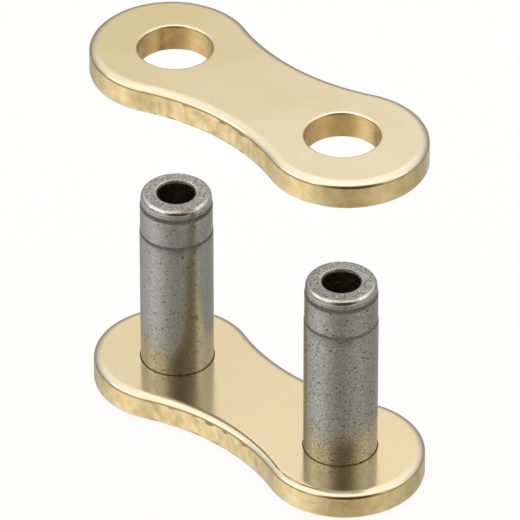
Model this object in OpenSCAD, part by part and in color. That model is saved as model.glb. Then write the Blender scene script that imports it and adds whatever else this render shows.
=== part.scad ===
// Connecting link for a roller chain, rivet type: two pins riveted in a link plate,
// and the cover plate lifted off them along the pins.
// Origin midway between the pins on the plane that the link stands on, +X along the pitch,
// +Z along the pins towards the cover plate. Millimetres.

/* [Pitch] */
// Distance between the two pin axes
pitch = 15.875; // [13:0.005:20]

/* [Link plates] */
// Thickness of both link plates
plate_t = 2.03; // [1.5:0.01:2.6]
// Radius of the rounded ends of a plate
lobe_r = 5.76; // [5.2:0.01:6.4]
// How far the centre of a rounded end lies beyond its pin axis
lobe_out = 0.4; // [0:0.05:1]
// Half the width of a plate at its waist
waist_half = 4.1; // [3.2:0.05:4.8]
// How far in the rolled-over edge reaches on the punch side, which faces up
edge_w = 0.65; // [0.3:0.01:0.9]
// How deep that edge is rolled over
edge_h = 0.42; // [0.2:0.01:0.6]
// Rounding of the outer edge on the underside
back_round = 0.12; // [0.05:0.01:0.3]
// Rounding of the upper mouths of the cover plate's holes
mouth_round = 0.2; // [0.04:0.01:0.3]
// Size by which all the other mouths of the plates' holes are broken
mouth_break = 0.05; // [0.02:0.01:0.1]

/* [Pins] */
// Diameter of the pins where they carry the chain's bushes
pin_d = 5.3; // [4.8:0.02:5.8]
// Width of the shoulder by which the pins stand on the pin plate
foot_step = 0.2; // [0.1:0.01:0.4]
// Height above the pin plate of the upper shoulders, on which the cover plate seats
shoulder_h = 11.3; // [9:0.05:15]
// Width of the upper shoulders
shoulder_w = 0.04; // [0.02:0.01:0.2]
// Length of the pins above the shoulders
end_h = 3.1; // [2.4:0.05:4]
// Rounding of the pins' nose
nose_round = 0.4; // [0.3:0.02:0.6]
// Distance from the tip down to the fine groove below the nose
groove_down = 0.84; // [0.75:0.01:1.2]
// Depth of that groove below the nose
groove_depth = 0.05; // [0.02:0.01:0.1]
// How much smaller in radius the nose starts than the end below the groove
nose_step = 0.04; // [0.01:0.01:0.1]
// How much the nose narrows from there to its rounding
nose_taper = 0.02; // [0.01:0.01:0.1]

/* [Hollow of the pins] */
// Diameter of the blind hole that lets the pin's end be spread
hollow_d = 2.7; // [2:0.02:3.2]
// Depth of the hollow down to the edge of its cone
hollow_depth = 3; // [2:0.1:5]
// How far the hollow's countersunk mouth reaches out beyond the hollow
sink_w = 0.3; // [0.1:0.01:0.4]
// Depth of that countersink
sink_h = 0.15; // [0.05:0.01:0.3]

/* [Riveted tails] */
// Height by which the pins' riveted tails stand out below the pin plate
tail_h = 0.45; // [0.2:0.05:0.8]
// How far the tails are spread in the countersink of the pin plate
tail_spread = 0.4; // [0.2:0.01:0.6]
// Rounding of the tails' outer edge
tail_round = 0.3; // [0.1:0.01:0.4]

/* [Cover plate] */
// Radial clearance of the cover plate's holes on the pins' ends
cover_gap = 0.02; // [0.01:0.005:0.05]
// Height of the lifted cover plate above the shoulders
cover_lift = 13.6; // [4:0.1:20]

/* [Hidden] */

$fn = 60;
// Cuts run this far past the faces that they open
past = 1;
// Angle of a drill's point, from its axis
drill_half_angle = 59;
// Half the opening angle of the fine groove
groove_half_angle = 55;
// Depth by which the waist's arc cuts in the round ends
waist_bite = 0.01;
// How far the web's corners run on into what the waist cuts take away
web_extra = 0.2;

pin_r = pin_d / 2;
seat_r = pin_r - foot_step;
end_r = pin_r - shoulder_w;
hollow_r = hollow_d / 2;
plate_z = tail_h;
plate_top = plate_z + plate_t;
shoulder_z = plate_top + shoulder_h;
tip_z = shoulder_z + end_h;
cover_z = shoulder_z + cover_lift;

// The plate's outline is four arcs: a round end about each lobe centre and a hollow waist
// on each side, which runs into both ends without a corner
lobe_x = pitch / 2 + lobe_out;
waist_r = (lobe_x * lobe_x + waist_half * waist_half - lobe_r * lobe_r) / (2 * (lobe_r - waist_half));
waist_y = waist_half + waist_r;
touch_x = lobe_x * waist_r / (waist_r + lobe_r);
touch_y = waist_y * lobe_r / (waist_r + lobe_r);

// Section through a plate's edge, as pairs of [distance in from the edge, height]: a small
// rounding below, the wall, and the rolled-over edge above, which is a quarter of an ellipse
function edge_points() = concat(
    [for (a = [0 : 30 : 90]) [back_round * (1 - sin(a)), back_round * (1 - cos(a))]],
    [for (a = [0 : 15 : 90]) [edge_w * (1 - cos(a)), plate_t - edge_h * (1 - sin(a))]]
);

// A round end: a disc whose rim has the plate's edge section
module plate_end() {
    rim = [for (p = edge_points()) [lobe_r - p[0], p[1]]];
    rotate_extrude() polygon(concat([[0, 0]], rim, [[0, plate_t]]));
}

// What is blanked away beside the waist: a disc whose rim is the counterpart of that section.
// Its arc cuts in the round ends by a hair, so the two meet in a line and not in a sliver.
module waist_cut() {
    rim = [for (p = edge_points()) [waist_r + waist_bite + p[0], p[1]]];
    below = [[0, -past], [rim[0][0], -past]];
    above = [[rim[len(rim) - 1][0], plate_t + past], [0, plate_t + past]];
    rotate_extrude($fn = 2 * $fn) polygon(concat(below, rim, above));
}

// The web between the two ends, before the waist is cut. Its slanted ends lie on the lines from
// the centres of the round ends to the centres of the waist arcs, and run on a little.
module plate_web() {
    reach = 1 + web_extra / lobe_r;
    x = lobe_x - (lobe_x - touch_x) * reach;
    y = touch_y * reach;
    linear_extrude(plate_t) polygon([[x, y], [lobe_x, 0], [x, -y], [-x, -y], [-lobe_x, 0], [-x, y]]);
}

// A hole through a plate, with a chamfered lower and a rounded upper mouth
module plate_hole(radius, low_chamfer, top_round) {
    low = [[0, -past], [radius + low_chamfer, -past], [radius + low_chamfer, 0], [radius, low_chamfer]];
    top = [for (a = [0 : 15 : 90])
        [radius + top_round * (1 - cos(a)), plate_t - top_round * (1 - sin(a))]];
    above = [[radius + top_round, plate_t + past], [0, plate_t + past]];
    rotate_extrude() polygon(concat(low, top, above));
}

// Both link plates: two round ends and a web, less the waist cuts and the two holes
module link_plate(hole_r, low_chamfer, top_round) {
    difference() {
        union() {
            for (side = [-1, 1]) translate([side * lobe_x, 0, 0]) plate_end();
            plate_web();
        }
        for (side = [-1, 1]) translate([0, side * waist_y, 0]) waist_cut();
        for (side = [-1, 1]) translate([side * pitch / 2, 0, 0])
            plate_hole(hole_r, low_chamfer, top_round);
    }
}

// A pin is turned in one piece: riveted tail, seat, body between two shoulders, end and nose
module pin() {
    tail_r = seat_r + tail_spread;
    tail_edge = min(tail_round, 0.8 * tail_h);
    nose_r = end_r - nose_step;
    groove_z = tip_z - groove_down;
    groove_above = groove_depth * tan(groove_half_angle);
    groove_below = (groove_depth + nose_step) * tan(groove_half_angle);
    tail = [for (a = [0 : 30 : 90])
        [tail_r - tail_edge * (1 - sin(a)), tail_edge * (1 - cos(a))]];
    nose = [for (a = [0 : 15 : 90])
        [nose_r - nose_taper - nose_round * (1 - cos(a)), tip_z - nose_round * (1 - sin(a))]];
    difference() {
        rotate_extrude() polygon(concat(
            [[0, 0]],
            tail,
            [
                [tail_r, plate_z],
                [seat_r, plate_z + tail_spread],
                [seat_r, plate_top],
                [pin_r, plate_top],
                [pin_r, shoulder_z],
                [end_r, shoulder_z],
                [end_r, groove_z - groove_below],
                [nose_r - groove_depth, groove_z],
                [nose_r, groove_z + groove_above]
            ],
            nose,
            [[0, tip_z]]
        ));
        hollow();
    }
}

// The blind hole in a pin's end, drilled, with a shallow countersink at its mouth
module hollow() {
    floor_z = tip_z - hollow_depth;
    cone_h = hollow_r / tan(drill_half_angle);
    mouth_r = hollow_r + sink_w;
    rotate_extrude() polygon([
        [0, floor_z - cone_h],
        [hollow_r, floor_z],
        [hollow_r, tip_z - sink_h],
        [mouth_r, tip_z],
        [mouth_r, tip_z + past],
        [0, tip_z + past]
    ]);
}

module pin_plate() {
    color("#e0cfa2") translate([0, 0, plate_z]) link_plate(seat_r, tail_spread, mouth_break);
}

module pin_left() {
    color("#7d7a75") translate([-pitch / 2, 0, 0]) pin();
}

module pin_right() {
    color("#7d7a75") translate([pitch / 2, 0, 0]) pin();
}

module cover_plate() {
    color("#e0cfa2") translate([0, 0, cover_z])
        link_plate(end_r + cover_gap, mouth_break, mouth_round);
}

pin_plate();
pin_left();
pin_right();
cover_plate();
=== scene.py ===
import math

import bmesh
import bpy
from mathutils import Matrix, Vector


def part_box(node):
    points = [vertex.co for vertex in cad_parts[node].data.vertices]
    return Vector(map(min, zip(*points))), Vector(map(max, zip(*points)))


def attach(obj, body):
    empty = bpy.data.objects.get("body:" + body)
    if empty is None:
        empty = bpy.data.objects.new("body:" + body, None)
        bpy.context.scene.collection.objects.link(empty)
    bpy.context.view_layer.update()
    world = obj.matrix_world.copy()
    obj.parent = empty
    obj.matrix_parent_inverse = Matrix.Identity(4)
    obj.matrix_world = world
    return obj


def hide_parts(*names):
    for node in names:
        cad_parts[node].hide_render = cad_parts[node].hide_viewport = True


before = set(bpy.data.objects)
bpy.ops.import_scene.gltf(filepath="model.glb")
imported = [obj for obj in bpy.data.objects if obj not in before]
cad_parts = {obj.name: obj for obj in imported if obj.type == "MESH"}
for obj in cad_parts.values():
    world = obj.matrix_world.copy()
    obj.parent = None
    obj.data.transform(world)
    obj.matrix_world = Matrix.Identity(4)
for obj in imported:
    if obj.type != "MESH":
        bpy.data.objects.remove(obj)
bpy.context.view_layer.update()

# The camera: a long lens that looks down at the link from its front right, as in the photograph.
# It is a pinhole, fitted to the outlines of both plates, both pins and all the holes.
# Its place follows from a point between the plates, two angles and a distance.
MM = 0.001  # the link's own sizes are in millimetres, and Blender's in metres
SENSOR_WIDTH = 36
IMAGE_WIDTH = 520
FOCAL_PIXELS = 8000
VIEW_AZIMUTH = math.radians(42.567)
VIEW_ELEVATION = math.radians(35.93)
VIEW_DISTANCE = 566.99 * MM
LOOK_AT = Vector((0.177, 0, 14.862)) * MM

toward_camera = Vector((math.sin(VIEW_AZIMUTH), -math.cos(VIEW_AZIMUTH), 0))
camera_right = Vector((math.cos(VIEW_AZIMUTH), math.sin(VIEW_AZIMUTH), 0))
upward = Vector((0, 0, 1))
view_back = toward_camera * math.cos(VIEW_ELEVATION) + upward * math.sin(VIEW_ELEVATION)
camera_data = bpy.data.cameras.new("camera")
camera_data.sensor_width = SENSOR_WIDTH
camera_data.lens = FOCAL_PIXELS / IMAGE_WIDTH * SENSOR_WIDTH
camera = bpy.data.objects.new("camera", camera_data)
camera.location = LOOK_AT + view_back * VIEW_DISTANCE
camera.rotation_mode = "QUATERNION"
camera.rotation_quaternion = (-view_back).to_track_quat("-Z", "Y")
bpy.context.scene.collection.objects.link(camera)
bpy.context.scene.camera = camera
bpy.context.scene.view_settings.view_transform = "Standard"


# The table: a sheet of matt white board that the link stands on, with a soft shadow.
# Metal doesn't mirror the board but the pale room, whose brightness the world below gives.
FLOOR_SIZE = 4.0  # metres
BOARD_WHITE = "#f6f5f4"
# The share of plain white in what the camera sees of the board; the rest is lit and shows the shadow
BOARD_GLOW = 0.92


def linear(hex_colour):
    """An sRGB hex colour as linear red, green, blue and alpha."""
    parts = [int(hex_colour[i : i + 2], 16) / 255 for i in (1, 3, 5)]
    return [c / 12.92 if c <= 0.04045 else ((c + 0.055) / 1.055) ** 2.4 for c in parts] + [1]


def add_node(tree, kind, inputs=None, result=0, **settings):
    """Adds a node and returns one of its outputs. An input is given a number, a vector, a
    colour or another node's output."""
    node = tree.nodes.new(kind)
    for name, value in settings.items():
        setattr(node, name, value)
    for name, value in (inputs or {}).items():
        if isinstance(value, bpy.types.NodeSocket):
            tree.links.new(value, node.inputs[name])
        else:
            node.inputs[name].default_value = value
    return node.outputs[result] if node.outputs else None


def white_board():
    # Matt white board: the camera sees it nearly white with a soft shadow, and metal not at all
    material = bpy.data.materials.new("matt white board")
    material.use_nodes = True
    tree = material.node_tree
    tree.nodes.clear()
    camera_ray = add_node(tree, "ShaderNodeLightPath", result="Is Camera Ray")
    glossy_ray = camera_ray.node.outputs["Is Glossy Ray"]
    board = add_node(tree, "ShaderNodeBsdfDiffuse", {"Color": linear(BOARD_WHITE)})
    glow = add_node(tree, "ShaderNodeEmission", {"Color": (1, 1, 1, 1), "Strength": 1})
    seen = add_node(tree, "ShaderNodeMath", {0: camera_ray, 1: BOARD_GLOW}, operation="MULTIPLY")
    lit = add_node(tree, "ShaderNodeMixShader", {0: seen, 1: board, 2: glow})
    clear = add_node(tree, "ShaderNodeBsdfTransparent")
    surface = add_node(tree, "ShaderNodeMixShader", {0: glossy_ray, 1: lit, 2: clear})
    add_node(tree, "ShaderNodeOutputMaterial", {"Surface": surface})
    return material


floor_mesh = bpy.data.meshes.new("floor")
half = FLOOR_SIZE / 2
floor_corners = [(-half, -half, 0), (half, -half, 0), (half, half, 0), (-half, half, 0)]
floor_mesh.from_pydata(floor_corners, [], [(0, 1, 2, 3)])
floor_mesh.materials.append(white_board())
floor = bpy.data.objects.new("floor", floor_mesh)
bpy.context.scene.collection.objects.link(floor)


# The light: a white room with a large soft light overhead, a dark side where the photographer
# stands, and a soft box on either side of the camera. The room's brightness below the horizon
# goes round by the compass, measured from the camera's side, so upright metal shows soft bands.
ROOM_STRENGTH = 1.6
# The low room, by its compass angle in degrees
LOW_ROOM = [
    (-180, "#868481"), (-150, "#9c9a96"), (-120, "#b6b6b3"), (-95, "#cccccb"), (-75, "#dbdbda"),
    (-58, "#d2d2d0"), (-40, "#b9b7b2"), (-20, "#a39f98"), (0, "#9a958c"), (25, "#a39d93"),
    (45, "#b4b0a8"), (65, "#b3b0aa"), (100, "#a19f9b"), (130, "#969490"), (150, "#a3a19e"),
    (180, "#868481"),
]
# Between these two, which are sines of an angle from the horizon, the high room takes over
LOW_ROOM_FADES = -0.5
LOW_ROOM_ENDS = -0.25
# The high room, by the cosine of the angle from the middle of the light overhead
OVERHEAD_LIFT = math.radians(80)
OVERHEAD = [
    (0.0, "#868584"), (0.3, "#b3b2b1"), (0.4, "#c1c0bf"), (0.5, "#d0cfce"), (0.62, "#dcdbda"),
    (0.8, "#e6e6e4"), (0.93, "#f2f1f0"),
]
# The high room on the camera's side, which is duller round that light. It starts and holds in
# full where a direction's cosine with the level one towards the camera passes these two.
NEAR_SIDE = [
    (0.0, "#868584"), (0.3, "#a8a295"), (0.72, "#a8a295"), (0.8, "#e6e6e4"), (0.93, "#f2f1f0"),
]
NEAR_SIDE_STARTS = 0.15
NEAR_SIDE_FULL = 0.4
# What the dark side leaves of the room, by the cosine of the angle from its middle
DARK_LIFT = math.radians(16)
DARK_TURN = math.radians(8)
DARK_SIDE = [(0.72, "#ffffff"), (0.80, "#c4beb0"), (0.88, "#857e6c"), (0.94, "#645c48")]
SOFT_BOX_DISTANCE = 0.6  # metres


def set_stops(ramp, stops):
    """Gives a colour ramp its (place from 0 to 1, hex colour) pairs."""
    elements = ramp.node.color_ramp.elements
    while len(elements) < len(stops):
        elements.new(1)
    for element, (place, colour) in zip(elements, stops):
        element.position = place
        element.color = linear(colour)


def white_room():
    """The room that metal mirrors; the camera itself sees plain white."""
    world = bpy.data.worlds.new("white room")
    world.use_nodes = True
    tree = world.node_tree
    tree.nodes.clear()
    direction = add_node(tree, "ShaderNodeTexCoord", result="Generated")
    overhead = upward * math.sin(OVERHEAD_LIFT) + toward_camera * math.cos(OVERHEAD_LIFT)
    dark_level = toward_camera * math.cos(DARK_TURN) + camera_right * math.sin(DARK_TURN)
    dark_side = upward * math.sin(DARK_LIFT) + dark_level * math.cos(DARK_LIFT)
    right, front, up, over, dark = [
        add_node(tree, "ShaderNodeVectorMath", {0: direction, 1: axis}, "Value",
                 operation="DOT_PRODUCT")
        for axis in (camera_right, toward_camera, upward, overhead, dark_side)
    ]
    compass = add_node(tree, "ShaderNodeMath", {0: right, 1: front}, operation="ARCTAN2")
    turn = add_node(tree, "ShaderNodeMapRange",
                    {"Value": compass, "From Min": -math.pi, "From Max": math.pi})
    low = add_node(tree, "ShaderNodeValToRGB", {"Fac": turn})
    set_stops(low, [((angle + 180) / 360, colour) for angle, colour in LOW_ROOM])
    high = add_node(tree, "ShaderNodeValToRGB", {"Fac": over})
    set_stops(high, OVERHEAD)
    near = add_node(tree, "ShaderNodeValToRGB", {"Fac": over})
    set_stops(near, NEAR_SIDE)
    nearer = add_node(tree, "ShaderNodeMapRange",
                      {"Value": front, "From Min": NEAR_SIDE_STARTS, "From Max": NEAR_SIDE_FULL},
                      interpolation_type="SMOOTHSTEP")
    high = add_node(tree, "ShaderNodeMix", {0: nearer, 6: high, 7: near}, 2, data_type="RGBA")
    shade = add_node(tree, "ShaderNodeValToRGB", {"Fac": dark})
    set_stops(shade, DARK_SIDE)
    rise = add_node(tree, "ShaderNodeMapRange",
                    {"Value": up, "From Min": LOW_ROOM_FADES, "From Max": LOW_ROOM_ENDS},
                    interpolation_type="SMOOTHSTEP")
    room = add_node(tree, "ShaderNodeMix", {0: rise, 6: low, 7: high}, 2, data_type="RGBA")
    room = add_node(tree, "ShaderNodeMix", {0: 1.0, 6: room, 7: shade}, 2, data_type="RGBA",
                    blend_type="MULTIPLY")
    room = add_node(tree, "ShaderNodeVectorMath", {0: room, "Scale": ROOM_STRENGTH}, operation="SCALE")
    camera_ray = add_node(tree, "ShaderNodeLightPath", result="Is Camera Ray")
    seen = add_node(tree, "ShaderNodeMix", {0: camera_ray, 6: room, 7: (1, 1, 1, 1)}, 2,
                    data_type="RGBA")
    background = add_node(tree, "ShaderNodeBackground", {"Color": seen, "Strength": 1})
    add_node(tree, "ShaderNodeOutputWorld", {"Surface": background})
    return world


def soft_box(name, compass, elevation, width, height, power):
    """A lamp aimed at the link, its sizes in metres and its power in watts. Its compass angle, in
    degrees, runs to the right from the camera."""
    lamp = bpy.data.lights.new(name, "AREA")
    lamp.shape = "RECTANGLE"
    lamp.size = width
    lamp.size_y = height
    lamp.energy = power
    box = bpy.data.objects.new(name, lamp)
    turn, lift = math.radians(compass), math.radians(elevation)
    level = toward_camera * math.cos(turn) + camera_right * math.sin(turn)
    aim = level * math.cos(lift) + upward * math.sin(lift)
    box.location = LOOK_AT + aim * SOFT_BOX_DISTANCE
    box.rotation_mode = "QUATERNION"
    box.rotation_quaternion = aim.to_track_quat("Z", "Y")
    bpy.context.scene.collection.objects.link(box)


bpy.context.scene.world = white_room()
soft_box("left soft box", compass=-68, elevation=33, width=0.6, height=0.3, power=0.35)
soft_box("right soft box", compass=70, elevation=33, width=0.36, height=0.3, power=0.1)


# The two link plates: blanked from steel strip with one tool, which rolls the upper edge over,
# leaves the walls of the round ends smooth and tears those of the waist, then tumbled and plated
# a pale gold. The pins are riveted in the pin plate, and the cover plate is lifted off them.
PITCH = 15.875
PLATE_THICKNESS = 2.03
LOBE_RADIUS = 5.76
LOBE_OUT = 0.4
WAIST_HALF = 4.1
EDGE_WIDTH = 0.65
EDGE_DEPTH = 0.42
BACK_ROUND = 0.12
MOUTH_ROUND = 0.2
MOUTH_BREAK = 0.05
SEAT_RADIUS = 2.45
COVER_HOLE_RADIUS = 2.63
TAIL_SPREAD = 0.4
# The seam that a pin's foot has pressed in the pin plate's face, coloured with painted shade: its
# radii, the widths of its inner and outer flank, and its depth
SEAM_INNER = 2.6
SEAM_OUTER = 2.72
SEAM_INNER_FLANK = 0.02
SEAM_OUTER_FLANK = 0.03
SEAM_DEPTH = 0.06
# How finely a plate's mesh is drawn: along its outline, up its walls, round a hole and over a
# quarter of a rounding
OUTLINE_STEP = 0.09
WALL_STEP = 0.09
HOLE_SEGMENTS = 180
ROUND_STEPS = 12
# The tears of the waist's walls: their depth and size, how much their pattern is squeezed
# upright, which draws it long, and the share of the pattern's height at which the wall stays
TEAR_DEPTH = 0.22
TEAR_SIZE = 0.85
TEAR_SQUEEZE = 0.6
TEAR_LEVEL = 0.5
# What is left of their depth at the round ends, past the waist's reach, on the foot of the
# rolled edge, where it fades with the angle in radians, and in the cover plate's holes
SMOOTH_TEAR = 0.03
WAIST_REACH = 8.5
ROLL_TEAR = 0.2
ROLL_TEAR_FADE = 3
HOLE_TEAR = 0.1
# Attribute values past which a face counts as wall, and as the inside of a hole or seam
WALL_FROM = 0.01
INSIDE_FROM = 0.4
# Angles in degrees up a rounded edge at which its painted highlight, a paler band of plating, starts,
# is in full, starts to fade and is gone again
EDGE_HIGHLIGHT_ANGLES = (22, 40, 41, 88)
# The paler gold of the painted highlight on the rolled edges and the cover's hole mouths
EDGE_HIGHLIGHT_GOLD = "#dcd6c2"
# Where along the link the faces' painted light is darkest and palest
SHADED_END = -13.0
LIT_END = 11.0
# Sizes of the plating's patches; its grain is drawn coarser than the real one, so that it shows
PLATING_CLOUD = 5.0
PLATING_HAZE = 0.6
PLATING_GRAIN = 0.1
PLATING_SWELL = 1.4
WALL_CLOUD = 0.8
WALL_HAZE = 0.3
# The punch's scores on a wall: their width, coarser than the real ones, and the squeeze of their
# pattern upright, which draws them long
SCORE_WIDTH = 0.3
SCORE_SQUEEZE = 0.12
# Size of the blotches in the painted shade of fine corners and grooves
SHADE_BLOTCH = 0.15


def new_material(name):
    """A new material, its tree, and the place on the piece in millimetres."""
    material = bpy.data.materials.new(name)
    material.use_nodes = True
    tree = material.node_tree
    tree.nodes.clear()
    metres = add_node(tree, "ShaderNodeTexCoord", result="Object")
    place = add_node(tree, "ShaderNodeVectorMath", {0: metres, "Scale": 1 / MM}, operation="SCALE")
    return material, tree, place


def satin_gold(name, left_gold, right_gold):
    # Gold-coloured plating over a tumbled face: satin and in soft patches, with painted light that
    # runs darker toward the left end and paler toward the right, and a painted highlight that
    # turns it paler along the rolled edge
    material, tree, place = new_material(name)
    along = add_node(tree, "ShaderNodeSeparateXYZ", {0: place})
    # Painted light: the colour runs darker toward the left end and paler toward the right
    end = add_node(tree, "ShaderNodeMapRange",
                   {"Value": along, "From Min": SHADED_END, "From Max": LIT_END})
    cloud = add_node(tree, "ShaderNodeTexNoise",
                     {"Vector": place, "Scale": 1 / PLATING_CLOUD, "Detail": 3.0})
    patches = add_node(tree, "ShaderNodeMapRange",
                       {"Value": cloud, "From Min": 0.35, "From Max": 0.65,
                        "To Min": -0.15, "To Max": 0.15})
    ends = add_node(tree, "ShaderNodeMath", {0: end, 1: patches}, operation="ADD", use_clamp=True)
    plating = add_node(tree, "ShaderNodeMix", {0: ends, 6: linear(left_gold), 7: linear(right_gold)}, 2,
                       data_type="RGBA")
    # Painted highlight: paler gold where a rounded edge curves down
    rubbed = add_node(tree, "ShaderNodeAttribute", result="Fac", attribute_name="rubbed")
    colour = add_node(tree, "ShaderNodeMix", {0: rubbed, 6: plating, 7: linear(EDGE_HIGHLIGHT_GOLD)}, 2,
                      data_type="RGBA")
    haze = add_node(tree, "ShaderNodeTexNoise",
                    {"Vector": place, "Scale": 1 / PLATING_HAZE, "Detail": 4.0})
    rough = add_node(tree, "ShaderNodeMapRange",
                     {"Value": haze, "From Min": 0.3, "From Max": 0.7, "To Min": 0.12, "To Max": 0.17})
    grain = add_node(tree, "ShaderNodeTexNoise",
                     {"Vector": place, "Scale": 1 / PLATING_GRAIN, "Detail": 3.0})
    fine = add_node(tree, "ShaderNodeBump", {"Height": grain, "Distance": 0.0006 * MM})
    swell = add_node(tree, "ShaderNodeTexNoise",
                     {"Vector": place, "Scale": 1 / PLATING_SWELL, "Detail": 2.0})
    bump = add_node(tree, "ShaderNodeBump", {"Height": swell, "Distance": 0.003 * MM, "Normal": fine})
    surface = add_node(tree, "ShaderNodeBsdfPrincipled",
                       {"Metallic": 1.0, "Base Color": colour, "Roughness": rough, "Normal": bump})
    add_node(tree, "ShaderNodeOutputMaterial", {"Surface": surface})
    return material


def blanked_gold(name, pale_gold, deep_gold, smooth, dull):
    # The same plating over a sheared wall: patchy in colour, with upright scores that the punch drew
    material, tree, place = new_material(name)
    cloud = add_node(tree, "ShaderNodeTexNoise",
                     {"Vector": place, "Scale": 1 / WALL_CLOUD, "Detail": 3.0})
    patches = add_node(tree, "ShaderNodeMapRange",
                       {"Value": cloud, "From Min": 0.35, "From Max": 0.7})
    colour = add_node(tree, "ShaderNodeMix", {0: patches, 6: linear(pale_gold), 7: linear(deep_gold)}, 2,
                      data_type="RGBA")
    haze = add_node(tree, "ShaderNodeTexNoise",
                    {"Vector": place, "Scale": 1 / WALL_HAZE, "Detail": 3.0})
    rough = add_node(tree, "ShaderNodeMapRange",
                     {"Value": haze, "From Min": 0.3, "From Max": 0.7, "To Min": smooth, "To Max": dull})
    drawn = add_node(tree, "ShaderNodeMapping", {"Vector": place, "Scale": (1, 1, SCORE_SQUEEZE)})
    scores = add_node(tree, "ShaderNodeTexNoise",
                      {"Vector": drawn, "Scale": 1 / SCORE_WIDTH, "Detail": 3.0})
    bump = add_node(tree, "ShaderNodeBump", {"Height": scores, "Distance": 0.003 * MM})
    surface = add_node(tree, "ShaderNodeBsdfPrincipled",
                       {"Metallic": 1.0, "Base Color": colour, "Roughness": rough, "Normal": bump})
    add_node(tree, "ShaderNodeOutputMaterial", {"Surface": surface})
    return material


def painted_crease_shade(name, dark, pale):
    # Painted shade in fine corners and grooves: a dull dark line without shine, in blotches
    material, tree, place = new_material(name)
    lumps = add_node(tree, "ShaderNodeTexNoise",
                     {"Vector": place, "Scale": 1 / SHADE_BLOTCH, "Detail": 3.0})
    blotches = add_node(tree, "ShaderNodeMapRange",
                    {"Value": lumps, "From Min": 0.35, "From Max": 0.65})
    colour = add_node(tree, "ShaderNodeMix", {0: blotches, 6: linear(dark), 7: linear(pale)}, 2,
                      data_type="RGBA")
    surface = add_node(tree, "ShaderNodeBsdfPrincipled",
                       {"Base Color": colour, "Roughness": 0.8, "Specular IOR Level": 0.15})
    add_node(tree, "ShaderNodeOutputMaterial", {"Surface": surface})
    return material


def quarter(steps):
    """Angles from 0 to 90 degrees, in radians."""
    return [math.pi / 2 * i / steps for i in range(steps + 1)]


def rise_and_fall(value, start, full, past, end):
    """Goes from 0 at start to 1 at full, and from 1 at past back to 0 at end."""
    return max(0, min(1, (value - start) / (full - start), (end - value) / (end - past)))


def edge_section():
    """The section through a plate's edge from the underside to the flat top: the distance in
    from the edge, the height, how much it is torn there, and its share of painted highlight."""
    low = [(BACK_ROUND * (1 - math.sin(a)), BACK_ROUND * (1 - math.cos(a)), {})
           for a in quarter(ROUND_STEPS)]
    high = [(EDGE_WIDTH * (1 - math.cos(a)), PLATE_THICKNESS - EDGE_DEPTH * (1 - math.sin(a)),
             {"torn": ROLL_TEAR * max(0, 1 - ROLL_TEAR_FADE * a),
              "rubbed": rise_and_fall(math.degrees(a), *EDGE_HIGHLIGHT_ANGLES)})
            for a in quarter(2 * ROUND_STEPS)]
    bottom, top = low[-1][1], high[0][1]
    rows = round((top - bottom) / WALL_STEP)
    wall = [(0, bottom + (top - bottom) * i / rows, {"torn": 1.0}) for i in range(rows)]
    return low[:-1] + wall + high


def arc_points(centre, radius, start, end, hollow):
    """(place, outward normal) pairs along an arc of the outline, without its last point."""
    count = max(8, round(abs(end - start) * radius / OUTLINE_STEP))
    points = []
    for i in range(count):
        angle = start + (end - start) * i / count
        spoke = Vector((math.cos(angle), math.sin(angle)))
        points.append((centre + spoke * radius, -spoke if hollow else spoke))
    return points


def plate_outline():
    """Four arcs that run into each other: a round end, a hollow waist, and the same again."""
    lobe_x = PITCH / 2 + LOBE_OUT
    waist_radius = (lobe_x**2 + WAIST_HALF**2 - LOBE_RADIUS**2) / (2 * (LOBE_RADIUS - WAIST_HALF))
    waist_y = WAIST_HALF + waist_radius
    lean = math.atan2(waist_y, -lobe_x)
    reach = math.atan2(lobe_x, waist_y)
    outline = []
    for turn in (1, -1):
        lobe_start = -lean if turn == 1 else math.pi - lean
        lobe_end = lean if turn == 1 else math.pi + lean
        outline += arc_points(Vector((turn * lobe_x, 0)), LOBE_RADIUS, lobe_start, lobe_end, False)
        middle = -turn * math.pi / 2
        outline += arc_points(Vector((0, turn * waist_y)), waist_radius, middle + reach,
                              middle - reach, True)
    return outline


def cover_hole_section():
    """The section through a hole of the cover from the underside up: the radius, the height,
    how much it is torn there, and its share of painted highlight."""
    top = PLATE_THICKNESS - MOUTH_ROUND
    rows = round((top - MOUTH_BREAK) / WALL_STEP)
    wall = [(COVER_HOLE_RADIUS, MOUTH_BREAK + (top - MOUTH_BREAK) * i / rows,
             {"torn": HOLE_TEAR, "punched": 1}) for i in range(rows)]
    high = [(COVER_HOLE_RADIUS + MOUTH_ROUND * (1 - math.cos(a)), top + MOUTH_ROUND * math.sin(a),
             {"rubbed": rise_and_fall(math.degrees(a), *EDGE_HIGHLIGHT_ANGLES)}) for a in quarter(ROUND_STEPS)]
    return [(COVER_HOLE_RADIUS + MOUTH_BREAK, 0, {})] + wall + high


def seat_section():
    """The section through a pin's seat in the pin plate, from its countersink up, with the fine
    seam that the pin's foot has pressed in the face."""
    top = PLATE_THICKNESS
    return [(SEAT_RADIUS + TAIL_SPREAD, 0, {}), (SEAT_RADIUS, TAIL_SPREAD, {}),
            (SEAT_RADIUS, top - MOUTH_BREAK, {}), (SEAT_RADIUS + MOUTH_BREAK, top, {}),
            (SEAM_INNER, top, {"seam": 1}),
            (SEAM_INNER + SEAM_INNER_FLANK, top - SEAM_DEPTH, {"seam": 1}),
            (SEAM_OUTER - SEAM_OUTER_FLANK, top - SEAM_DEPTH, {"seam": 1}), (SEAM_OUTER, top, {})]


def skin(bm, rings, turned):
    """Faces between neighbouring rings of vertices; turned ones face the other way."""
    for low, high in zip(rings, rings[1:]):
        for i in range(len(low)):
            j = (i + 1) % len(low)
            corners = [low[i], low[j], high[j], high[i]]
            bm.faces.new(corners[::-1] if turned else corners)


def ring_edges(bm, ring):
    """The edges between the neighbouring vertices of a ring."""
    return [bm.edges.get((ring[i], ring[(i + 1) % len(ring)])) for i in range(len(ring))]


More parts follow.
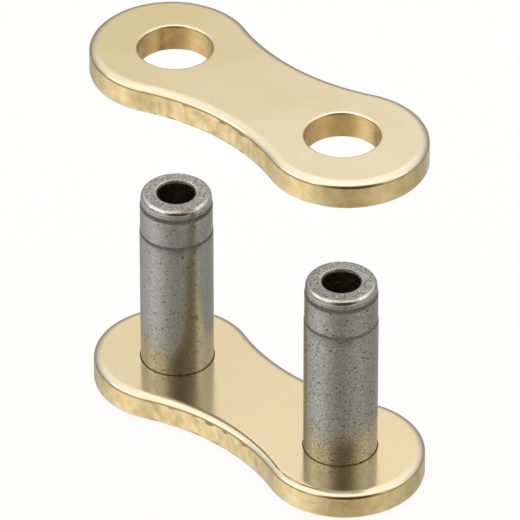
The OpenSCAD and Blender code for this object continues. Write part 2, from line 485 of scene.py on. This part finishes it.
def plate_mesh(name, base_height, hole_section):
    """A whole plate: its rim, its two holes, and the flat faces between them."""
    bm = bmesh.new()
    layers = {finish: bm.verts.layers.float.new(finish)
              for finish in ("torn", "rubbed", "punched", "seam")}

    def ring_of(spots, height, finishes):
        ring = [bm.verts.new((x * MM, y * MM, (base_height + height) * MM)) for x, y in spots]
        for finish, amount in finishes.items():
            for vertex in ring:
                vertex[layers[finish]] = amount
        return ring

    outline = plate_outline()
    rings = [ring_of([point - normal * inward for point, normal in outline], height, finishes)
             for inward, height, finishes in edge_section()]
    skin(bm, rings, False)
    lower_rims, upper_rims = [rings[0]], [rings[-1]]
    turns = [2 * math.pi * i / HOLE_SEGMENTS for i in range(HOLE_SEGMENTS)]
    for side in (-1, 1):
        hole = [ring_of([(side * PITCH / 2 + radius * math.cos(a), radius * math.sin(a)) for a in turns],
                        height, finishes) for radius, height, finishes in hole_section]
        skin(bm, hole, True)
        lower_rims.append(hole[0])
        upper_rims.append(hole[-1])
    for face in bm.faces:
        face.smooth = True
    for rims, way in ((lower_rims, -1), (upper_rims, 1)):
        edges = [edge for rim in rims for edge in ring_edges(bm, rim)]
        bmesh.ops.triangle_fill(bm, use_beauty=True, use_dissolve=False, edges=edges, normal=(0, 0, way))
    bmesh.ops.recalc_face_normals(bm, faces=bm.faces)
    mesh = bpy.data.meshes.new(name)
    bm.to_mesh(mesh)
    bm.free()
    return mesh


def torn_wall_tree(wall_material, hole_material, seam_shade_material):
    """Geometry nodes that roughen the walls of a blanked plate, most of all at its waist, and
    give its faces and its walls their finishes and the seams round its pins painted shade."""
    tree = bpy.data.node_groups.new("torn wall", "GeometryNodeTree")
    face = tree.interface
    face.new_socket("Geometry", in_out="INPUT", socket_type="NodeSocketGeometry")
    for name in ("Tear depth", "Tear size", "Waist reach", "Seed"):
        face.new_socket(name, in_out="INPUT", socket_type="NodeSocketFloat")
    face.new_socket("Face finish", in_out="INPUT", socket_type="NodeSocketMaterial")
    face.new_socket("Geometry", in_out="OUTPUT", socket_type="NodeSocketGeometry")
    plate = add_node(tree, "NodeGroupInput", result="Geometry")
    given = plate.node.outputs
    place = add_node(tree, "GeometryNodeInputPosition")
    along = add_node(tree, "ShaderNodeSeparateXYZ", {0: place}, "X")
    out = add_node(tree, "ShaderNodeMath", {0: along}, operation="ABSOLUTE")
    waist = add_node(tree, "ShaderNodeMapRange",
                     {"Value": out, "From Min": given["Waist reach"], "From Max": 0.0,
                      "To Min": SMOOTH_TEAR, "To Max": 1.0},
                     interpolation_type="SMOOTHSTEP")
    torn, punched, seam = [
        add_node(tree, "GeometryNodeInputNamedAttribute", {"Name": finish}, data_type="FLOAT")
        for finish in ("torn", "punched", "seam")
    ]
    drawn = add_node(tree, "ShaderNodeVectorMath", {0: place, 1: (1, 1, TEAR_SQUEEZE)},
                     operation="MULTIPLY")
    grain = add_node(tree, "ShaderNodeMath", {0: 1.0, 1: given["Tear size"]}, operation="DIVIDE")
    lumps = add_node(tree, "ShaderNodeTexVoronoi", {"Vector": drawn, "W": given["Seed"], "Scale": grain},
                     voronoi_dimensions="4D")
    push = add_node(tree, "ShaderNodeMath", {0: lumps, 1: TEAR_LEVEL}, operation="SUBTRACT")
    for factor in (given["Tear depth"], waist, torn):
        push = add_node(tree, "ShaderNodeMath", {0: push, 1: factor}, operation="MULTIPLY")
    normal = add_node(tree, "GeometryNodeInputNormal")
    offset = add_node(tree, "ShaderNodeVectorMath", {0: normal, "Scale": push}, operation="SCALE")
    rough_plate = add_node(tree, "GeometryNodeSetPosition", {"Geometry": plate, "Offset": offset})
    real = add_node(tree, "GeometryNodeRealizeInstances", {0: rough_plate})
    finished = add_node(tree, "GeometryNodeSetMaterial", {0: real, "Material": given["Face finish"]})
    for amount, limit, material in (
        (torn, WALL_FROM, wall_material),
        (punched, INSIDE_FROM, hole_material),
        (seam, INSIDE_FROM, seam_shade_material),
    ):
        chosen = add_node(tree, "FunctionNodeCompare", {0: amount, 1: limit}, data_type="FLOAT",
                          operation="GREATER_THAN")
        finished = add_node(tree, "GeometryNodeSetMaterial",
                            {0: finished, "Selection": chosen, "Material": material})
    add_node(tree, "NodeGroupOutput", {0: finished})
    return tree


def give_inputs(modifier, values):
    """Sets a geometry nodes modifier's inputs, given by their names."""
    for item in modifier.node_group.interface.items_tree:
        if item.item_type == "SOCKET" and item.in_out == "INPUT" and item.name in values:
            modifier[item.identifier] = values[item.name]


def plain_mesh(piece):
    """Turns what a piece's modifiers make into its own mesh, and takes the modifiers off."""
    evaluated = piece.evaluated_get(bpy.context.evaluated_depsgraph_get())
    mesh = bpy.data.meshes.new_from_object(evaluated)
    piece.modifiers.clear()
    piece.data = mesh
    mesh.name = piece.name


# Painted shade in the seam round each pin's foot and on the foot's broken corner
foot_shade = painted_crease_shade("painted shade round a pin's foot", "#6b5232", "#8a6d43")
blanked_wall = blanked_gold("gold plating on a blanked edge", "#ecd7a6", "#dabd86", 0.11, 0.19)
hole_wall = blanked_gold("gold plating in a punched hole", "#e1c287", "#d4af6e", 0.24, 0.32)
torn_wall = torn_wall_tree(blanked_wall, hole_wall, foot_shade)
for node, body, hole_section, seed, left_gold, right_gold in (
    ("pin_plate", "pin_side", seat_section(), 3.0, "#ecd9b1", "#f2dfb5"),
    ("cover_plate", "cover", cover_hole_section(), 4.0, "#e3d2a2", "#f6e5c1"),
):
    plate = bpy.data.objects.new("gold_" + node, plate_mesh(node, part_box(node)[0].z / MM, hole_section))
    bpy.context.scene.collection.objects.link(plate)
    tearing = plate.modifiers.new("tearing", "NODES")
    tearing.node_group = torn_wall
    give_inputs(tearing, {"Tear depth": TEAR_DEPTH * MM, "Tear size": TEAR_SIZE * MM,
                          "Waist reach": WAIST_REACH * MM, "Seed": seed,
                          "Face finish": satin_gold("satin gold of " + node, left_gold, right_gold)})
    plain_mesh(plate)
    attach(plate, body)
    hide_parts(node)


# The two pins: turned from hardened steel and tumbled, which leaves fine dark pits. Each has a
# riveted tail, a body that carries the chain's bush, a slightly smaller end that takes the cover
# plate, a fine groove, a rounded nose and a drilled hollow. They are riveted in the pin plate.
PIN_RADIUS = 2.65
END_RADIUS = 2.61
NOSE_RADIUS = 2.57
NOSE_TAPER = 0.02
TAIL_HEIGHT = 0.45
TAIL_ROUND = 0.3
TAIL_MIDDLE = 1.2
SHOULDER_HEIGHT = 11.3
END_HEIGHT = 3.1
NOSE_ROUND = 0.4
GROOVE_DOWN = 0.84
GROOVE_DEPTH = 0.05
GROOVE_SLOPE = math.radians(55)
# Broken corner of the foot, and depth of the shoulder's corner and of the line above it
CORNER = 0.03
# How far the shoulder's broken corner reaches down, and the line above the shoulder reaches up
SHOULDER_BREAK = 0.18
UNDERCUT = 0.05
# How far the painted shade reaches past the fine groove, above it and below it, where a body row lies
GROOVE_SHADE_REACH = 0.08
HOLLOW_RADIUS = 1.35
HOLLOW_DEPTH = 3.0
SINK_WIDTH = 0.3
SINK_DEPTH = 0.15
DRILL_HALF_ANGLE = math.radians(59)
# The drill's mark in the hollow: its depth, its rise in one turn, and how narrow its ridge is
DRILL_MARK = 0.03
DRILL_FEED = 0.8
DRILL_RIDGE = 6
HOLLOW_STEP = 0.03
BODY_ROWS = 12
PIN_SEGMENTS = 192
SHARP_CORNER = math.radians(22)
# The angle up the nose's rounding to which it is polished and paler, partly a painted highlight,
# and the angles in radians down the hollow's mouth to which it is faced and then given the same
POLISH_AND_HIGHLIGHT_UP_TO = math.radians(70)
MOUTH_FACED_TO = 0.5
MOUTH_POLISH_AND_HIGHLIGHT_TO = 0.75
STEEL = "#b1b0ac"
# A pit lies in some cells of its pattern; its radius and the softness of its rim are in cells.
# The cells are bent by a second pattern, so the pits aren't round.
PIT_BROWN = "#58544c"
PIT_CELL = 0.21
PIT_LARGEST = 0.46
PIT_RIM = 0.2
PIT_BEND = 0.3
PIT_BEND_SIZE = 0.2
# Sizes and colours of the patches in the skins; the grains are coarser than real ones, to show
STEEL_MOTTLE = 0.16
STEEL_GRAIN = 0.12
FACED_GRAIN = 0.14
FACED_DARK = "#8b8880"
FACED_PALE = "#cac8c3"
NOSE_PATCH = 0.25
NOSE_DENT = 0.3
# The nose's colours, paler than the body's steel: partly its polish and partly a painted highlight
NOSE_DARK = "#bbb9b4"
NOSE_PALE = "#e2e0dc"
SCALE_PATCH = 0.2
BORE_STEEL = "#948e7e"
BORE_SCALE = "#565145"


def pitted_steel(name, dark_steel, pit_share):
    # Hardened steel after tumbling: a grey satin skin, faintly mottled, with small dark pits
    material, tree, place = new_material(name)
    cloud = add_node(tree, "ShaderNodeTexNoise",
                     {"Vector": place, "Scale": 1 / STEEL_MOTTLE, "Detail": 3.0})
    mottle = add_node(tree, "ShaderNodeMapRange",
                      {"Value": cloud, "From Min": 0.38, "From Max": 0.62})
    clean = add_node(tree, "ShaderNodeMix", {0: mottle, 6: linear(dark_steel), 7: linear(STEEL)}, 2,
                     data_type="RGBA")
    wander = add_node(tree, "ShaderNodeTexNoise",
                      {"Vector": place, "Scale": 1 / PIT_BEND_SIZE, "Detail": 2.0}, "Color")
    bent = add_node(tree, "ShaderNodeVectorMath",
                    {0: wander, 1: (PIT_BEND, PIT_BEND, PIT_BEND), 2: place},
                    operation="MULTIPLY_ADD")
    away = add_node(tree, "ShaderNodeTexVoronoi", {"Vector": bent, "Scale": 1 / PIT_CELL})
    chance = add_node(tree, "ShaderNodeSeparateColor", {0: away.node.outputs["Color"]})
    size = add_node(tree, "ShaderNodeMapRange",
                    {"Value": chance, "From Min": 1 - pit_share, "From Max": 1.0,
                     "To Min": 0.0, "To Max": PIT_LARGEST})
    inside = add_node(tree, "ShaderNodeMath", {0: size, 1: away}, operation="SUBTRACT")
    pit = add_node(tree, "ShaderNodeMapRange",
                   {"Value": inside, "From Min": 0.0, "From Max": PIT_RIM})
    colour = add_node(tree, "ShaderNodeMix", {0: pit, 6: clean, 7: linear(PIT_BROWN)}, 2,
                      data_type="RGBA")
    rough = add_node(tree, "ShaderNodeMapRange", {"Value": mottle, "To Min": 0.34, "To Max": 0.29})
    grain = add_node(tree, "ShaderNodeTexNoise",
                     {"Vector": place, "Scale": 1 / STEEL_GRAIN, "Detail": 3.0})
    fine = add_node(tree, "ShaderNodeBump", {"Height": grain, "Distance": 0.0012 * MM})
    skin_height = add_node(tree, "ShaderNodeMath", {0: 1.0, 1: pit}, operation="SUBTRACT")
    bump = add_node(tree, "ShaderNodeBump",
                    {"Height": skin_height, "Distance": 0.008 * MM, "Normal": fine})
    surface = add_node(tree, "ShaderNodeBsdfPrincipled",
                       {"Metallic": 1.0, "Base Color": colour, "Roughness": rough, "Normal": bump})
    add_node(tree, "ShaderNodeOutputMaterial", {"Surface": surface})
    return material


def faced_steel():
    # The flat end that the cutter faced: matt, with fine light and dark grains
    material, tree, place = new_material("faced pin end")
    cloud = add_node(tree, "ShaderNodeTexNoise",
                     {"Vector": place, "Scale": 1 / FACED_GRAIN, "Detail": 3.0})
    grain = add_node(tree, "ShaderNodeMapRange",
                     {"Value": cloud, "From Min": 0.38, "From Max": 0.62})
    colour = add_node(tree, "ShaderNodeMix", {0: grain, 6: linear(FACED_DARK), 7: linear(FACED_PALE)}, 2,
                      data_type="RGBA")
    bump = add_node(tree, "ShaderNodeBump", {"Height": grain, "Distance": 0.012 * MM})
    surface = add_node(tree, "ShaderNodeBsdfPrincipled",
                       {"Metallic": 1.0, "Base Color": colour, "Roughness": 0.4, "Normal": bump})
    add_node(tree, "ShaderNodeOutputMaterial", {"Surface": surface})
    return material


def rubbed_steel():
    # The rounded nose, rubbed bright by tumbling, with small dents that break its highlights.
    # Its paler colour is partly that polish and partly a painted highlight
    material, tree, place = new_material("rubbed pin nose")
    cloud = add_node(tree, "ShaderNodeTexNoise",
                     {"Vector": place, "Scale": 1 / NOSE_PATCH, "Detail": 4.0})
    rub = add_node(tree, "ShaderNodeMapRange",
                   {"Value": cloud, "From Min": 0.3, "From Max": 0.7})
    colour = add_node(tree, "ShaderNodeMix", {0: rub, 6: linear(NOSE_DARK), 7: linear(NOSE_PALE)}, 2,
                      data_type="RGBA")
    rough = add_node(tree, "ShaderNodeMapRange", {"Value": rub, "To Min": 0.24, "To Max": 0.15})
    dents = add_node(tree, "ShaderNodeTexNoise",
                     {"Vector": place, "Scale": 1 / NOSE_DENT, "Detail": 3.0})
    bump = add_node(tree, "ShaderNodeBump", {"Height": dents, "Distance": 0.008 * MM})
    surface = add_node(tree, "ShaderNodeBsdfPrincipled",
                       {"Metallic": 1.0, "Base Color": colour, "Roughness": rough, "Normal": bump})
    add_node(tree, "ShaderNodeOutputMaterial", {"Surface": surface})
    return material


def drilled_steel():
    # The drilled hollow: bare steel under patches of hardening scale, which leave it dark and dull
    material, tree, place = new_material("drilled hollow")
    cloud = add_node(tree, "ShaderNodeTexNoise",
                     {"Vector": place, "Scale": 1 / SCALE_PATCH, "Detail": 3.0})
    scale = add_node(tree, "ShaderNodeMapRange",
                     {"Value": cloud, "From Min": 0.3, "From Max": 0.7})
    colour = add_node(tree, "ShaderNodeMix", {0: scale, 6: linear(BORE_SCALE), 7: linear(BORE_STEEL)}, 2,
                      data_type="RGBA")
    surface = add_node(tree, "ShaderNodeBsdfPrincipled",
                       {"Metallic": 1.0, "Base Color": colour, "Roughness": 0.4})
    add_node(tree, "ShaderNodeOutputMaterial", {"Surface": surface})
    return material


def pin_section(plate_base):
    """The pin's half section from the middle of its tail, round the outside and down the hollow,
    as (radius, height, material number of the row up to there, 1 where the drill left a mark)."""
    plate_top = plate_base + PLATE_THICKNESS
    shoulder = plate_top + SHOULDER_HEIGHT
    tip = shoulder + END_HEIGHT
    tail_radius = SEAT_RADIUS + TAIL_SPREAD
    groove = tip - GROOVE_DOWN
    below = (GROOVE_DEPTH + END_RADIUS - NOSE_RADIUS) * math.tan(GROOVE_SLOPE)
    above = GROOVE_DEPTH * math.tan(GROOVE_SLOPE)
    top_radius = NOSE_RADIUS - NOSE_TAPER
    floor_height = tip - HOLLOW_DEPTH
    body, faced, nose, bore, foot, groove_line = range(6)
    section = [(0, 0, body, 0), (TAIL_MIDDLE, 0, body, 0)]
    section += [(tail_radius - TAIL_ROUND * (1 - math.sin(a)), TAIL_ROUND * (1 - math.cos(a)), body, 0)
                for a in quarter(ROUND_STEPS)]
    # The foot's broken corner gets painted shade
    section += [(tail_radius, plate_base, body, 0), (SEAT_RADIUS, plate_base + TAIL_SPREAD, body, 0),
                (SEAT_RADIUS, plate_top, body, 0), (PIN_RADIUS - CORNER, plate_top, foot, 0),
                (PIN_RADIUS, plate_top + CORNER, foot, 0)]
    section += [(PIN_RADIUS, plate_top + SHOULDER_HEIGHT * i / BODY_ROWS, body, 0)
                for i in range(1, BODY_ROWS)]
    # Painted shade on the shoulder's corner and the line above it, and in and round the fine groove
    section += [(PIN_RADIUS, shoulder - SHOULDER_BREAK, body, 0),
                (PIN_RADIUS - CORNER, shoulder - SHOULDER_BREAK / 2, groove_line, 0),
                (END_RADIUS - CORNER, shoulder, groove_line, 0),
                (END_RADIUS, shoulder + UNDERCUT, groove_line, 0),
                (END_RADIUS, groove - below - GROOVE_SHADE_REACH, body, 0),
                (END_RADIUS, groove - below, groove_line, 0),
                (NOSE_RADIUS - GROOVE_DEPTH, groove, groove_line, 0),
                (NOSE_RADIUS, groove + above, groove_line, 0),
                (NOSE_RADIUS, groove + above + GROOVE_SHADE_REACH, groove_line, 0)]
    section += [(top_radius - NOSE_ROUND * (1 - math.cos(a)), tip - NOSE_ROUND * (1 - math.sin(a)),
                 (nose if a < POLISH_AND_HIGHLIGHT_UP_TO else faced) if a else body, 0)
                for a in quarter(2 * ROUND_STEPS)]
    section += [(HOLLOW_RADIUS + SINK_WIDTH * (1 - math.sin(a)), tip - SINK_DEPTH * (1 - math.cos(a)),
                 faced if a < MOUTH_FACED_TO else nose if a < MOUTH_POLISH_AND_HIGHLIGHT_TO else bore, 0)
                for a in quarter(ROUND_STEPS)]
    rows = round((HOLLOW_DEPTH - SINK_DEPTH) / HOLLOW_STEP)
    section += [(HOLLOW_RADIUS, tip - SINK_DEPTH - HOLLOW_STEP * i, bore, 1) for i in range(1, rows)]
    section += [(HOLLOW_RADIUS, floor_height, bore, 0),
                (0, floor_height - HOLLOW_RADIUS / math.tan(DRILL_HALF_ANGLE), bore, 0)]
    return section


def pin_mesh(name, axis_x, plate_base):
    """Turns the section round the pin's axis; the hollow's wall has the drill's spiral mark."""
    section = pin_section(plate_base)
    bm = bmesh.new()
    rings = []
    for radius, height, _, mark in section:
        if radius == 0:
            rings.append([bm.verts.new((axis_x * MM, 0, height * MM))])
            continue
        ring = []
        for i in range(PIN_SEGMENTS):
            angle = 2 * math.pi * i / PIN_SEGMENTS
            wave = 0.5 + 0.5 * math.sin(2 * math.pi * height / DRILL_FEED + angle)
            r = radius - mark * DRILL_MARK * wave**DRILL_RIDGE
            x, y = axis_x + r * math.cos(angle), r * math.sin(angle)
            ring.append(bm.verts.new((x * MM, y * MM, height * MM)))
        rings.append(ring)
    for low, high, (_, _, number, _) in zip(rings, rings[1:], section[1:]):
        for i in range(PIN_SEGMENTS):
            j = (i + 1) % PIN_SEGMENTS
            if len(low) == 1:
                corners = [low[0], high[j], high[i]]
            elif len(high) == 1:
                corners = [low[i], low[j], high[0]]
            else:
                corners = [low[i], low[j], high[j], high[i]]
            face = bm.faces.new(corners)
            face.material_index = number
            face.smooth = True
    bmesh.ops.recalc_face_normals(bm, faces=bm.faces)
    mesh = bpy.data.meshes.new(name)
    bm.to_mesh(mesh)
    bm.free()
    return mesh


# Painted shade in the pins' fine groove and on the line at the shoulder
groove_shade = painted_crease_shade("painted shade in a groove", "#615e55", "#7d7a71")
end_finishes = [faced_steel(), rubbed_steel(), drilled_steel(), foot_shade, groove_shade]
for node, side, dark_steel, pit_share in (
    ("pin_left", -1, "#9e9c97", 0.6),
    ("pin_right", 1, "#969489", 0.85),
):
    pin = bpy.data.objects.new("steel_" + node, pin_mesh(node, side * PITCH / 2, TAIL_HEIGHT))
    for material in [pitted_steel("pitted steel of " + node, dark_steel, pit_share)] + end_finishes:
        pin.data.materials.append(material)
    bpy.context.scene.collection.objects.link(pin)
    pin.data.set_sharp_from_angle(angle=SHARP_CORNER)
    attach(pin, "pin_side")
    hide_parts(node)
